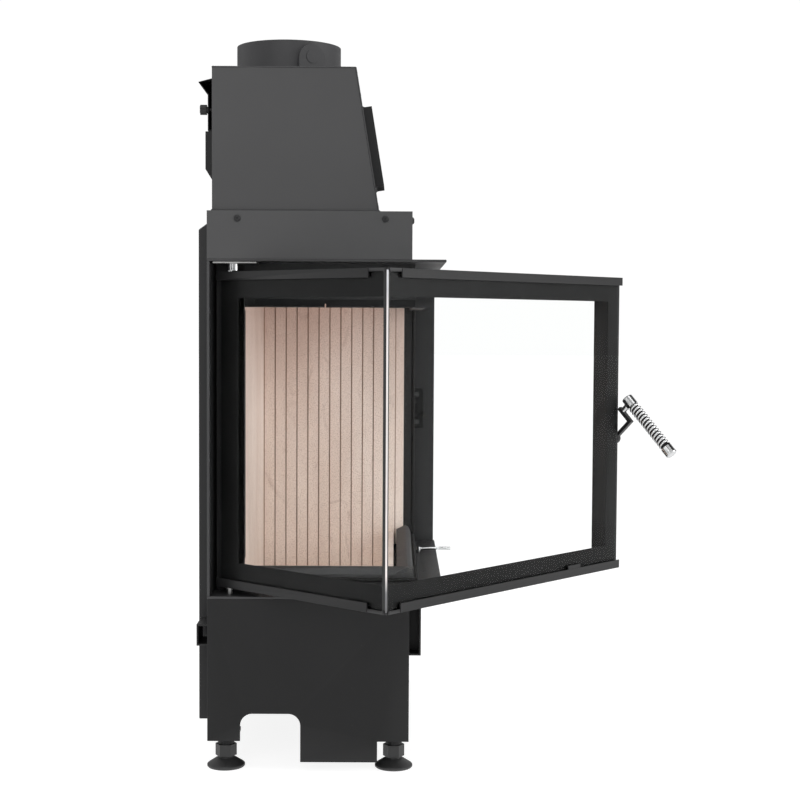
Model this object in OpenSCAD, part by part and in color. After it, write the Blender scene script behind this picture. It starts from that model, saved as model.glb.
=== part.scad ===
// Corner fireplace insert with a two-sided glass door that swings on one vertical axis.
// X runs from the back of the stove to its front, Y from the near side to the far side, Z up.
// The sizes are worked out from the near back corner of the casing, at the floor. place() then
// moves every node so that the origin is under the middle of the whole object, door open.

/* [Casing] */
// Length of the casing, from the near side to the far side
body_l = 640; // [540:5:780]
// Width of the base and of the upper casing
case_w = 318; // [270:1:400]
// How far the sill and the canopy stand out past the base at the front
overhang = 53; // [50:1:70]
// Thickness of the sill, the canopy and the firebox walls
plate_t = 4; // [3:0.5:6]
// Thickness of the base panels, the upper casing and the smoke dome
sheet_t = 3; // [2:0.5:4]
// Height of the side panels' lower edge above the floor
base_z = 49; // [45:1:70]
// Height of the sill's top face above the floor
sill_z = 278; // [260:1:340]
// Clear height from the sill to the canopy
bay_h = 523; // [420:1:640]
// Height of the upper casing
upper_h = 74; // [60:1:100]

/* [Base panels] */
// Distance of the cable and duct arch from the back edge of a side panel
arch_x = 51.5; // [48:0.5:60]
// Width of the arch
arch_w = 94.5; // [70:0.5:110]
// Height of the arch above the panel's lower edge
arch_h = 43.5; // [30:0.5:60]
// Corner radius of the arch
arch_r = 19; // [8:1:25]
// Width of the tongue beside the arch
tongue_w = 121; // [90:1:130]
// Height of the tongue's lower edge above the floor
tongue_z = 16; // [8:1:30]
// Diameter of a foot's pad
foot_d = 60; // [45:1:70]
// Diameter of a foot's threaded stud
stud_d = 12; // [10:1:16]
// Travel of a foot's stud
foot_travel = 25; // [10:1:30]

/* [Smoke dome] */
// Width of the dome at its foot
dome_foot_w = 258; // [240:1:290]
// Width of the dome at its top
dome_top_w = 222; // [200:1:235]
// Height of the dome
dome_h = 221; // [180:1:280]
// Outer diameter of the flue collar
flue_d = 180; // [150:1:180]
// Wall of the flue collar
flue_t = 2; // [2:0.5:3]
// Height of the flue collar above the dome
flue_h = 82; // [60:1:100]

/* [Firebox] */
// Thickness of the back firebricks
brick_t = 30; // [25:1:34]
// Thickness of the far firebricks
far_brick_t = 22; // [18:1:22]
// Spacing of the grooves in the firebricks
groove_pitch = 21; // [16:0.5:30]
// Width of a groove
groove_w = 2; // [1.5:0.5:4]
// Height of the hearth rim above the sill
rim_h = 38; // [34:1:50]
// Depth of the hearth below the sill
hearth_deep = 43; // [35:1:60]
// Height of the header under the canopy
header_h = 70.5; // [60:0.5:90]

/* [Door] */
// How far the stored door stands open, in degrees
open_angle = 41.67; // [0:0.01:80]
// Distance of the hinge axis from the back edge
hinge_x = 33; // [31:0.5:36]
// Distance of the hinge axis from the near side
hinge_y = 24; // [23:0.5:26]
// Distance of the short leaf's outer face from the hinge axis
leaf_off = 10.6; // [10:0.1:12]
// Depth of the short leaf, from its outer face to the back of its rails
leaf_d = 39.3; // [36:0.1:42]
// Depth of the long leaf
long_d = 43.7; // [41:0.1:46]
// How far the long leaf stands out past the sill when the door is closed
leaf_proud = 3.7; // [0:0.1:6]
// Diameter of the rope seal
rope_d = 7.7; // [6:0.1:8]
// Thickness of the glass
glass_t = 4; // [4:0.5:5]
// Height of a rail's face
rail_h = 13.5; // [11:0.5:18]
// Gap between the sill and the door
sill_gap = 11.5; // [11:0.5:16]
// Gap between the door and the canopy
canopy_gap = 15.7; // [14:0.1:24]
// Width of the hinge stile
hinge_stile_w = 25; // [23:0.5:28]
// Width of the latch stile
latch_stile_w = 34; // [28:0.5:36]

/* [Latch and handle] */
// Height of the strike plate above the middle of the door
strike_up = 2.5; // [0:0.5:20]
// Diameter of the latch roller
roller_d = 8; // [7:0.5:9]
// Height of the latch shaft's axis below the strike plate's middle
shaft_drop = 29; // [28:0.5:32]
// Diameter of the latch shaft
shaft_d = 10; // [9:0.5:11]
// How far the stored handle is lifted, in degrees
lift_angle = 44.7; // [0:0.1:50]
// Diameter of the handle's grip
grip_d = 20.5; // [18:0.5:24]
// Length of the grip
grip_l = 128.8; // [100:0.2:150]
// Number of turns in the grip's coil
coil_turns = 14; // [10:1:16]

/* [Air control] */
// Distance of the air lever's pin from the near side, as a share of the casing's length
air_share = 0.735; // [0.6:0.005:0.8]
// Reach of the air lever from its pin
air_reach = 60; // [52:1:70]
// Diameter of the air lever
air_d = 5; // [4:0.5:5]
// Outer diameter of the air inlet spigot
spigot_d = 124; // [100:1:125]
// Length of the air inlet spigot
spigot_l = 60; // [40:1:60]

/* [Clearances] */
// Radial clearance of a turning fit
run_fit = 0.05; // [0.02:0.01:0.09]
// Gap between parts that move past each other
gap = 0.3; // [0.3:0.1:0.6]

/* [Hidden] */
$fn = 64;

// Heights
sill_low = sill_z - plate_t;
canopy_z = sill_z + bay_h;
upper_z = canopy_z + plate_t;
dome_z = upper_z + upper_h;
dome_top = dome_z + dome_h;
flue_top = dome_top + flue_h;
hearth_z = sill_z - hearth_deep;
pan_z = hearth_z - brick_t - plate_t - 1;
header_z = canopy_z - header_h;
brick_top = header_z + 11;
rim_z = sill_z + rim_h;

// The door as it stands closed
plate_w = case_w + overhang;
door_x = plate_w + leaf_proud;
door_y = hinge_y - leaf_off;
door_z = sill_z + sill_gap;
door_top = canopy_z - canopy_gap;
rail_t = 2;
hinge_end = 20.7;
strike_y = body_l - 16;
end_gap = 12.9;
door_end = strike_y - end_gap;
glass_back = rail_t + 0.4 + glass_t;
corner_cut_s = 38.4;
corner_cut_l = 31.7;

// The frame that the door closes on
seat = rope_d + gap;
frame_y = door_y + leaf_d + seat;
frame_x = door_x - long_d - seat;
post_w = 14;
post_d = 12;
far_face = door_end - 36.1;
hinge_post_w = 45;
hinge_post_x = 8;
wedge_out = 17;
wedge_h = 13;
rim_in = 27;

// Bricks
back_face = plate_t + 5.5 + brick_t;
far_edge = frame_x - post_w;
low_t = 22;
low_x = frame_x - rim_in - 1 - low_t;
low_y = frame_y + rim_in + 1;

// Flue, dome and cover
dome_x = 7.5;
dome_y = 5;
flue_x = dome_x + 97.5;
flue_y = body_l / 2;
lug_turn = 28.7;
lug_r = 24.5;
lug_drop = 30.5;
plug_r = 11.2;
cover_l = 520;
cover_t = 2;
cover_gap = 11;
knob_r = 8;
knob_l = 12.5;
knob_z = dome_top - 58;
knob_pin = 3;
rib_l = 520;
front_rib_y = 60;
front_rib_l = 95;

// Feet
foot_in_x = 26;
foot_in_y = 35;
foot_front_x = case_w - 25;
boss_d = 26;
boss_low = base_z - 12;
boss_plate = 6;
boss_side = 50;

// Latch
shaft_in = 15;
strike_w = 25;
strike_h = 79;
strike_t = 3;
strike_x = frame_x + 12;
strike_z = (door_z + door_top) / 2 + strike_up;
ring_x = frame_x + 10;
shaft_x = door_x - shaft_in;
shaft_z = strike_z - shaft_drop;
roller_in = 10;
roller_over = 15;
roller_x = shaft_x - roller_in;
roller_z = shaft_z + roller_over;
roller_l = 8;
roller_pin_r = 2;
stile_y = door_end - latch_stile_w;
flange_w = 19;
web_back = 35;
bush_l = 8;
arm_w = 8.4;
arm_y = door_end + 0.8;
arm_t = 6;
arm_reach = 46;
tab_up = 31;
spacer_r = 5.75;
spacer_up = 22.5;
grip_out = 65.3;
grip_top = 33.3;
cap_l = 19;
tail_cap_l = 16;

// Air control
air_x = frame_x + 14;
air_collar_r = 4.2;
air_y = body_l * air_share;
air_z = door_z - 2 * gap - air_d / 2;
air_pin_top = door_z - gap;
shutter_r = 34;
shutter_t = 3;
shutter_z = sill_low - 6;
port_w = 14;
port_l = 30;

// Rear and front brackets, back shield
shield_out = 23;
shield_end = 83;
bracket_rear_w = 18;
bracket_front_w = 18.5;
bracket_l = 60;
bracket_y = 10;

// Box of the whole object with the door as stored, which sets the origin
oa = open_angle;
grip_reach = grip_out * cos(lift_angle) + (grip_l - grip_top) * sin(lift_angle);
far_out = shaft_x + grip_reach - hinge_x;
far_along = arm_y + arm_w / 2 - hinge_y;
grip_far_x = hinge_x + far_out * cos(oa) + far_along * sin(oa) + 8.5;
corner_low_y = hinge_y - (door_x - hinge_x) * sin(oa) - leaf_off * cos(oa) + 4;
origin_x = (max(grip_far_x, plate_w) - shield_out) / 2;
origin_y = (body_l + min(corner_low_y, 0)) / 2;

module place() {
    translate([-origin_x, -origin_y, 0]) children();
}

// Turns a piece drawn on the closed door to where the stored door stands
module on_door() {
    place() translate([hinge_x, hinge_y, 0]) rotate([0, 0, -open_angle])
        translate([-hinge_x, -hinge_y, 0]) children();
}

// Turns a piece drawn on the closed handle to where the stored handle stands
module on_handle() {
    on_door() translate([shaft_x, 0, shaft_z]) rotate([0, -lift_angle, 0])
        translate([-shaft_x, 0, -shaft_z]) children();
}

module box(lo, hi) {
    translate(lo) cube([hi[0] - lo[0], hi[1] - lo[1], hi[2] - lo[2]]);
}

// Extrudes an outline drawn in X and Z along Y, from y0 to y1
module along_y(y0, y1) {
    translate([0, y1, 0]) rotate([90, 0, 0]) linear_extrude(height = y1 - y0) children();
}

// Extrudes an outline drawn in Y and Z along X, from x0 to x1
module along_x(x0, x1) {
    translate([x0, 0, 0]) rotate([90, 0, 90]) linear_extrude(height = x1 - x0) children();
}

module rod_y(x, z, r, y0, y1) {
    translate([x, y0, z]) rotate([-90, 0, 0]) cylinder(r = r, h = y1 - y0);
}

module rod_x(y, z, r, x0, x1) {
    translate([x0, y, z]) rotate([0, 90, 0]) cylinder(r = r, h = x1 - x0);
}

module rod_z(x, y, r, z0, z1) {
    translate([x, y, z0]) cylinder(r = r, h = z1 - z0);
}

// ---------------------------------------------------------------- base

// A side panel's outline: a plate with a round-cornered arch, a tongue and a foot notch
module side_outline() {
    panel_w = case_w - 1.5;
    difference() {
        union() {
            translate([0, base_z]) square([panel_w, sill_low - base_z]);
            translate([arch_x + arch_w, tongue_z]) square([tongue_w, base_z - tongue_z + arch_h]);
        }
        translate([arch_x, base_z - 1]) square([arch_w, arch_h - arch_r + 1]);
        translate([arch_x + arch_r, base_z - 1]) square([arch_w - 2 * arch_r, arch_h + 1]);
        for (x = [arch_x + arch_r, arch_x + arch_w - arch_r])
            translate([x, base_z + arch_h - arch_r]) circle(r = arch_r);
    }
}

module near_side_panel() place() color("#3c3d3f") {
    along_y(0, sheet_t) side_outline();
}

module far_side_panel() place() color("#3c3d3f") {
    along_y(body_l - sheet_t, body_l) side_outline();
}

module base_back_panel() place() color("#3c3d3f") {
    box([0, sheet_t, base_z + 20], [sheet_t, body_l - sheet_t, sill_low]);
}

module base_front_panel() place() color("#3c3d3f") {
    front = case_w - 1.5;
    difference() {
        box([front - sheet_t, sheet_t, base_z + 20], [front, body_l - sheet_t, sill_low]);
        box([front - sheet_t - 1, air_y - shutter_r - 6, shutter_z - shutter_t - 1],
            [front + 1, air_y + shutter_r + 6, shutter_z + 1]);
    }
}

module sill_plate() place() color("#46474a") {
    difference() {
        box([0, 0, sill_low], [plate_w, body_l, sill_z]);
        box([plate_t + 1, frame_y + 4, sill_low - 1], [low_x + low_t + 1, strike_y - 10, sill_z + 1]);
        box([air_x - 33, air_y - port_l / 2, sill_low - 1],
            [air_x - 33 + port_w, air_y + port_l / 2, sill_z + 1]);
        rod_z(air_x, air_y, air_d / 2 + run_fit, sill_low - 1, sill_z + 1);
        rod_z(frame_x + 19, body_l * 0.4, 2, sill_low - 1, sill_z + 1);
    }
}

module hearth_pan() place() color("#2c2c2e") {
    x1 = low_x + low_t + 1;
    y0 = frame_y + 4;
    y1 = strike_y - 10;
    difference() {
        box([plate_t + 1, y0, pan_z], [x1, y1, sill_low]);
        box([2 * plate_t + 1, y0 + plate_t, pan_z + plate_t], [x1 - plate_t, y1 - plate_t, sill_z]);
    }
}

module foot_bosses() place() color("#333436") {
    for (p = foot_places()) {
        difference() {
            union() {
                rod_z(p[0], p[1], boss_d / 2, boss_low, base_z + 2);
                box([p[0] - boss_side / 2 + 2, p[1] - boss_side / 2, base_z + 2],
                    [p[0] + boss_side / 2 - 4, p[1] + boss_side / 2, base_z + 2 + boss_plate]);
            }
            rod_z(p[0], p[1], stud_d / 2 + run_fit, boss_low - 1, base_z + boss_plate + 3);
        }
    }
}

function foot_places() = [[foot_in_x, foot_in_y], [foot_front_x, foot_in_y],
    [foot_in_x, body_l - foot_in_y], [foot_front_x, body_l - foot_in_y]];

// A levelling foot: a shallow cone, a neck, a hexagon for the spanner and the stud
module foot(n) {
    p = foot_places()[n];
    hex_low = 18;
    translate([p[0], p[1], 0]) {
        rotate_extrude() polygon([[0, 0], [foot_d / 2 - 1.5, 0], [foot_d / 2, 1.5], [foot_d / 2, 4],
            [foot_d / 2 - 1.5, 5.5], [17, 13], [13, 15], [11, hex_low + 0.5], [0, hex_low + 0.5]]);
        translate([0, 0, hex_low]) cylinder(r = 17, h = boss_low - gap - hex_low, $fn = 6);
        cylinder(r = stud_d / 2, h = base_z + boss_plate + 14 + foot_travel);
    }
}

module foot_near_back() place() color("#333436") foot(0);
module foot_near_front() place() color("#333436") foot(1);
module foot_far_back() place() color("#333436") foot(2);
module foot_far_front() place() color("#333436") foot(3);

// ---------------------------------------------------------------- firebox shell and frame

module back_wall() place() color("#3a3b3d") {
    box([0, 0, sill_z], [plate_t, body_l - plate_t, canopy_z]);
}

module far_wall() place() color("#3a3b3d") {
    box([0, body_l - plate_t, sill_z], [plate_w - 3, body_l, canopy_z]);
}

module hinge_post() place() color("#3a3b3d") {
    x1 = hinge_post_x + hinge_post_w;
    box([hinge_post_x, frame_y, sill_z], [x1, frame_y + plate_t, canopy_z]);
    box([x1 - plate_t, frame_y + plate_t, rim_z + 12], [x1, frame_y + 18, brick_top - 16]);
}

module front_post() place() color("#2b2c2e") {
    box([frame_x - post_w, far_face, sill_z], [frame_x, far_face + post_d, canopy_z]);
}

module strike_column() place() color("#3f4042") {
    x0 = frame_x - post_w;
    x1 = plate_w - 3;
    difference() {
        box([x0, strike_y, sill_z], [x1, strike_y + plate_t, canopy_z]);
        for (dz = [-screw_up, screw_up])
            rod_y(strike_x, strike_z + dz, screw_r + 0.01, strike_y - 1, strike_y + plate_t + 1);
        rod_y(roller_x, roller_z, roller_pin_r, strike_y - 1, strike_y + plate_t + 1);
    }
    box([x1 - plate_t, strike_y + plate_t, sill_z], [x1, body_l - plate_t, canopy_z]);
}

// The header hangs from the canopy; its lower edge is drawn out to a wedge over the opening
module door_header() place() color("#2b2c2e") {
    x0 = hinge_post_x + hinge_post_w;
    wedge_x = hinge_x + 37;
    wedge_end = far_face - 8;
    difference() {
        union() {
            box([x0, frame_y, header_z], [frame_x, frame_y + plate_t, canopy_z]);
            box([frame_x - plate_t, frame_y, header_z], [frame_x, far_face, canopy_z]);
            along_x(wedge_x, frame_x) polygon([[frame_y + 1, header_z], [frame_y + 1, header_z + wedge_h],
                [frame_y, header_z + wedge_h], [frame_y - wedge_out, header_z + 1.5],
                [frame_y - wedge_out, header_z]]);
            along_y(frame_y, wedge_end) polygon([[frame_x - 1, header_z], [frame_x - 1, header_z + wedge_h],
                [frame_x, header_z + wedge_h], [frame_x + wedge_out, header_z + 1.5],
                [frame_x + wedge_out, header_z]]);
        }
        box([(x0 + frame_x) / 2 - 8, frame_y - wedge_out - 1, header_z - 1],
            [(x0 + frame_x) / 2 - 5, frame_y + plate_t + 1, header_z + 6]);
    }
}

// The rim's section: an outer flange, a rounded top and a ledge that falls towards the fire
module rim_section() {
    difference() {
        polygon([[0, 0], [0, rim_h - 12], [4, rim_h - 3], [8, rim_h - 0.8], [10, rim_h],
            [rim_in, rim_h - 8], [rim_in, rim_h - 14], [4, rim_h - 14], [4, 0]]);
        polygon([[4, -1], [4, rim_h - 14], [9, rim_h - 7], [rim_in - 3, rim_h - 12.5],
            [rim_in - 3, rim_h - 20], [8, -1]]);
    }
}

module hearth_rim() place() color("#56575a") {
    x0 = hinge_post_x + hinge_post_w;
    difference() {
        union() {
            along_x(x0, frame_x) translate([frame_y, sill_z]) rim_section();
            along_y(frame_y, far_face) translate([frame_x, sill_z]) mirror([1, 0]) rim_section();
        }
        box([frame_x - 5, air_y - port_l / 2 - 4, sill_z + 2], [frame_x + 1, air_y + port_l / 2 - 4, sill_z + 14]);
    }
}

module canopy_plate() place() color("#3e3f41") {
    difference() {
        box([0, 0, canopy_z], [plate_w, body_l, upper_z]);
        box([20, frame_y + 12, canopy_z - 1], [case_w - 28, body_l - 40, upper_z + 1]);
    }
}

// ---------------------------------------------------------------- bricks

module grooves_y(count, x, y0) {
    for (i = [0:count - 1])
        box([x - 2.5, y0 + i * groove_pitch, hearth_z - 60],
            [x + 1, y0 + i * groove_pitch + groove_w, brick_top + 1]);
}

module back_bricks() place() color("#d9bfb0") {
    y0 = frame_y + 4 + plate_t + 1;
    difference() {
        box([back_face - brick_t, y0, hearth_z + 0.5], [back_face, far_face, brick_top]);
        grooves_y(floor((far_face - y0 - 8) / groove_pitch), back_face, y0 + groove_pitch / 2);
    }
}

module far_bricks() place() color("#dcc4b6") {
    clear = back_face + groove_pitch + 0.5;
    count = floor((low_x - clear) / groove_pitch);
    difference() {
        union() {
            box([back_face, far_face, sill_z + 1], [far_edge, far_face + far_brick_t, brick_top]);
            box([back_face, far_face, hearth_z + 0.5],
                [low_x + low_t - plate_t, far_face + far_brick_t, sill_z + 1]);
        }
        for (i = [0:count - 1])
            box([clear + i * groove_pitch, far_face - 1, hearth_z],
                [clear + i * groove_pitch + groove_w, far_face + 2.5, brick_top + 1]);
    }
}

module low_bricks() place() color("#cdb0a0") {
    top = rim_z - 12;
    z0 = hearth_z + 0.5;
    box([low_x, low_y, z0], [low_x + low_t - 4.5, far_face - 1, top]);
    box([back_face + 1, low_y, z0], [low_x - 1, low_y + low_t, top]);
}

module floor_brick() place() color("#bf9d8b") {
    x0 = 2 * plate_t + 2;
    y0 = frame_y + 4 + plate_t + 1;
    box([x0, y0, pan_z + plate_t], [low_x + low_t - plate_t, strike_y - 10 - plate_t - 1, hearth_z]);
}

module baffle_brick() place() color("#cbb3a4") {
    box([back_face - brick_t + 6, frame_y + 10, brick_top],
        [far_edge - 45, far_face + far_brick_t - 4, brick_top + 24]);
}

// ---------------------------------------------------------------- upper casing, dome and flue

module upper_casing() place() color("#4a4b4e") {
    t = sheet_t;
    difference() {
        box([0, 0, upper_z], [case_w, body_l, dome_z]);
        box([t, t, upper_z - 1], [case_w - t, body_l - t, dome_z - t]);
        box([dome_x + 8, dome_y + 8, dome_z - t - 1],
            [dome_x + dome_foot_w - 14, body_l - dome_y - 8, dome_z + 1]);
        for (s = screw_places())
            translate(s[0]) rotate(s[1]) cylinder(r = screw_r + 0.01, h = 2 * t + 2, center = true);
    }
}

screw_r = 3;
screw_up = 27;
screw_z = dome_z - 12;

// Where the button-head screws of the upper casing stand, and the way that each one faces
function screw_places() = [
    for (x = [47, case_w - 42]) [[x, 0, screw_z], [90, 0, 0]],
    for (x = [47, case_w - 42]) [[x, body_l, screw_z], [-90, 0, 0]],
    for (y = [40, body_l / 2, body_l - 40]) [[case_w, y, screw_z], [0, 90, 0]]];

module button_screw(grip) {
    difference() {
        union() {
            translate([0, 0, -grip]) cylinder(r = screw_r, h = grip);
            rotate_extrude() polygon([[0, 0], [5.6, 0], [5.5, 1], [4.8, 2.1], [3.6, 2.9], [2.4, 3.3], [0, 3.3]]);
        }
        translate([0, 0, 1.4]) cylinder(r = 1.9, h = 3, $fn = 6);
    }
}

module button_screws() place() color("#242527") {
    for (s = screw_places()) translate(s[0]) rotate(s[1]) button_screw(8);
    for (dz = [-screw_up, screw_up]) {
        rod_y(strike_x, strike_z + dz, screw_r, strike_y - strike_t, strike_y + plate_t + 2);
        rod_y(strike_x, strike_z + dz, 4.6, strike_y - strike_t, strike_y - strike_t + 1.5);
    }
}

module dome_outline(inset) {
    lean = (dome_foot_w - dome_top_w) / dome_h;
    top = dome_h - inset;
    low = inset > 0 ? -1 : 0;
    polygon([[inset, low], [dome_foot_w - inset * 1.02 - lean * low, low],
        [dome_foot_w - inset * 1.02 - lean * top, top], [inset, top]]);
}

module smoke_dome() place() color("#4b4c4f") {
    t = sheet_t;
    difference() {
        translate([dome_x, 0, dome_z]) along_y(dome_y, body_l - dome_y) dome_outline(0);
        translate([dome_x, 0, dome_z]) along_y(dome_y + t, body_l - dome_y - t) dome_outline(t);
        rod_z(flue_x, flue_y, flue_d / 2 - flue_t, dome_top - t - 1, dome_top + 1);
        for (y = knob_ys()) rod_x(y, knob_z, knob_pin + run_fit, dome_x - 1, dome_x + t + 1);
    }
}

module flue_collar() place() color("#4e4f52") {
    difference() {
        rod_z(flue_x, flue_y, flue_d / 2, dome_top, flue_top);
        rod_z(flue_x, flue_y, flue_d / 2 - flue_t, dome_top - 1, flue_top + 1);
    }
}

module lug_frame() {
    translate([flue_x, flue_y, flue_top - lug_drop]) rotate([0, 0, lug_turn]) children();
}

// A pad welded on the collar, with the plug of its flue sensor opening
module collar_lug() place() color("#505154") {
    $fn = 240;
    r = flue_d / 2;
    proud = 3.5;
    difference() {
        lug_frame() translate([0, -r + 8, 0]) rotate([90, 0, 0]) {
            cylinder(r = lug_r, h = 8 + proud);
            translate([-lug_r + 0.05, lug_drop - flue_h + 4, 0])
                cube([2 * lug_r - 0.1, flue_h - lug_drop - 4, 8 + proud]);
        }
        rod_z(flue_x, flue_y, r + 0.02, dome_top - 1, flue_top + 1);
    }
    lug_frame() translate([0, -r - 1, 4]) rotate([90, 0, 0]) cylinder(r = plug_r, h = proud);
}

function knob_ys() = [(body_l - cover_l) / 2 + 10, (body_l + cover_l) / 2 - 10];

// Cover over the cleaning opening in the back of the dome; its head is bent out to a lip
module rear_cover() place() color("#2f3032") {
    y0 = body_l / 2 - cover_l / 2;
    x0 = dome_x - cover_gap - cover_t;
    x1 = x0 + cover_t;
    low = dome_top - 92;
    difference() {
        union() {
            box([x0, y0, low], [x1, y0 + cover_l, dome_top - 34]);
            box([x0, y0, low], [dome_x, y0 + cover_l, low + cover_t]);
            along_y(y0, y0 + cover_l) polygon([[x0, dome_top - 36], [x0 - 15.2, dome_top - 15.4],
                [dome_x, dome_top - 8], [dome_x, dome_top - 10], [x0 - 12.2, dome_top - 16.4],
                [x1, dome_top - 35]]);
        }
        for (y = knob_ys()) rod_x(y, knob_z, knob_pin + run_fit, x0 - 1, x1 + 1);
    }
}

module cover_knob(n) {
    y = knob_ys()[n];
    x0 = dome_x - cover_gap - cover_t - gap;
    rod_x(y, knob_z, knob_pin, x0 - 1, dome_x + sheet_t + 6);
    difference() {
        union() {
            rod_x(y, knob_z, knob_r, x0 - knob_l, x0 - 2);
            rod_x(y, knob_z, 5, x0 - 2, x0);
        }
        for (i = [0:5]) translate([0, y, knob_z]) rotate([60 * i, 0, 0])
            rod_x(knob_r + 1, 0, 2.4, x0 - knob_l - 1, x0 - 2);
    }
}

module near_cover_knob() place() color("#161617") cover_knob(0);
module far_cover_knob() place() color("#161617") cover_knob(1);

// Hollow duct rib low on the back of the dome, closed at its ends
module rear_rib() place() color("#38393b") {
    y0 = body_l / 2 - rib_l / 2;
    out = 16.7;
    difference() {
        along_y(y0, y0 + rib_l) polygon([[dome_x, dome_top - 92], [dome_x - out, dome_top - 93],
            [dome_x - out, dome_top - 152], [dome_x, dome_top - 179]]);
        along_y(y0 + 2, y0 + rib_l - 2) polygon([[dome_x + 1, dome_top - 95],
            [dome_x - out + 2, dome_top - 95], [dome_x - out + 2, dome_top - 151],
            [dome_x, dome_top - 176], [dome_x + 1, dome_top - 176]]);
    }
}

// A short closed duct on the sloping front, with coved upper and lower sides
module front_rib() place() color("#38393b") {
    lean = atan((dome_foot_w - dome_top_w) / dome_h);
    y0 = front_rib_y;
    y1 = front_rib_y + front_rib_l;
    up = 43;
    len = 126;
    out = 15;
    cove = 5;
    translate([dome_x + dome_foot_w, 0, dome_z]) rotate([0, -lean, 0]) translate([0, 0, up]) {
        difference() {
            along_y(y0, y1) square([out, len]);
            along_y(y0 + 2, y1 - 2) translate([-1, 2]) square([out - 1, len - 4]);
        }
        along_y(y0, y1) for (e = [0, 1]) translate([0, e * len]) mirror([0, 1 - e]) difference() {
            square([cove, cove]);
            translate([cove, cove]) circle(r = cove);
        }
    }
}

// ---------------------------------------------------------------- outside of the casing

module rear_shield() place() color("#434447") {
    t = 2;
    low = base_z + 14;
    top = dome_z - 8;
    difference() {
        along_y(shield_end, body_l - shield_end) polygon([[0, low], [0, top], [-12, top - 9],
            [-shield_out, top - 17], [-shield_out, low]]);
        along_y(shield_end + t, body_l - shield_end - t) polygon([[1, low - 1], [1, top - t],
            [-12 + t, top - 9 - t], [-shield_out + t, top - 17 - t], [-shield_out + t, low - 1]]);
    }
}

// Hollow fixing brackets at the ends of the casing, on its back and on its front
module side_brackets() place() color("#303133") {
    back_w = bracket_rear_w;
    front_w = bracket_front_w;
    x0 = case_w - 1.5;
    for (y = [bracket_y, body_l - bracket_y - bracket_l]) {
        difference() {
            box([-back_w, y, 198], [0, y + bracket_l, 232]);
            box([-back_w + 3, y - 1, 201], [1, y + bracket_l + 1, 229]);
        }
        difference() {
            box([x0, y, 184], [x0 + front_w, y + bracket_l, 262]);
            box([x0 - 1, y - 1, 187], [x0 + front_w - 3, y + bracket_l + 1, 259]);
        }
        box([x0, y + bracket_l / 2, 187], [x0 + front_w - 3, y + bracket_l / 2 + 3, 259]);
    }
}

module air_box() place() color("#3a3b3d") {
    x0 = case_w / 2 - 82;
    x1 = case_w / 2 + 82;
    y0 = body_l / 2 - 90;
    y1 = body_l / 2 + 90;
    z0 = pan_z - 46;
    difference() {
        union() {
            box([x0, y0, z0], [x1, y1, pan_z]);
            rod_z(case_w / 2, body_l / 2, spigot_d / 2, z0 - spigot_l, z0);
        }
        box([x0 + sheet_t, y0 + sheet_t, z0 + sheet_t], [x1 - sheet_t, y1 - sheet_t, pan_z + 1]);
        rod_z(case_w / 2, body_l / 2, spigot_d / 2 - 2, z0 - spigot_l - 1, z0 + sheet_t + 1);
    }
}

// ---------------------------------------------------------------- strike and hinges

// The strike plate, with flush screws, two slots and a raised ring round its setting screw
module strike_plate() place() color("#3b3c3e") {
    y0 = strike_y - strike_t;
    difference() {
        union() {
            box([strike_x - strike_w / 2, y0, strike_z - strike_h / 2],
                [strike_x + strike_w / 2, strike_y, strike_z + strike_h / 2]);
            rod_y(ring_x, strike_z, 6, y0 - 1.5, y0 + 1);
        }
        for (dz = [-screw_up, screw_up]) {
            rod_y(strike_x, strike_z + dz, screw_r + 0.01, y0 - 1, strike_y + 1);
            rod_y(strike_x, strike_z + dz, 4.61, y0 - 1, y0 + 1.51);
        }
        rod_y(ring_x, strike_z, 3, y0 - 2, y0 + 1);
        for (dz = [-13, 13])
            box([ring_x - 5, y0 - 1, strike_z + dz - 2], [ring_x + 5, strike_y + 1, strike_z + dz + 2]);
    }
}

module roller_pin() place() color("silver") {
    head = strike_y - strike_t - roller_l - 2 * gap;
    rod_y(roller_x, roller_z, roller_pin_r, head, strike_y + plate_t);
    rod_y(roller_x, roller_z, roller_pin_r + 1.2, head - 0.8, head);
}

module latch_roller() place() color("#b9bcc0") {
    y1 = strike_y - strike_t - gap;
    difference() {
        rod_y(roller_x, roller_z, roller_d / 2, y1 - roller_l, y1);
        rod_y(roller_x, roller_z, roller_pin_r + run_fit, y1 - roller_l - 1, y1 + 1);
    }
}

pin_r = 4;

module hinge_plate() place() color("#55565a") {
    difference() {
        box([plate_t + 4, door_y - 5, canopy_z - 3], [hinge_x + 43, frame_y - 10, canopy_z]);
        rod_z(hinge_x, hinge_y, pin_r, canopy_z - 4, canopy_z + 1);
    }
}

// The door's head turns on the lower pin; the eccentric above it sets the door's lean
module top_hinge_pin() place() color("#d5d7da") {
    rod_z(hinge_x, hinge_y, pin_r, canopy_z - 3, canopy_z);
    rod_z(hinge_x + 5, hinge_y, 9.5, door_top + 1.7, canopy_z - 3);
    rod_z(hinge_x, hinge_y, pin_r, door_top - 22, door_top + 1.7);
}

module bottom_hinge_pin() place() color("#c4c6ca") {
    rod_z(hinge_x, hinge_y, 4.5, sill_z, door_z - gap - 1.5);
    rod_z(hinge_x, hinge_y, 7, door_z - gap - 1.5, door_z - gap);
    rod_z(hinge_x, hinge_y, pin_r, door_z - gap, door_z + 22);
}

// ---------------------------------------------------------------- door, drawn closed

module short_glass() on_door() color([0.75, 0.8, 0.8, 0.35]) {
    y0 = door_y + rail_t + 0.4;
    box([hinge_x - 14.4, y0, door_z + rail_t], [door_x - 10.1, y0 + glass_t, door_top - rail_t]);
}

module long_glass() on_door() color([0.75, 0.8, 0.8, 0.35]) {
    x1 = door_x - rail_t - 0.4;
    box([x1 - glass_t, door_y + glass_back, door_z + rail_t], [x1, door_end - 6, door_top - rail_t]);
}

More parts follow.
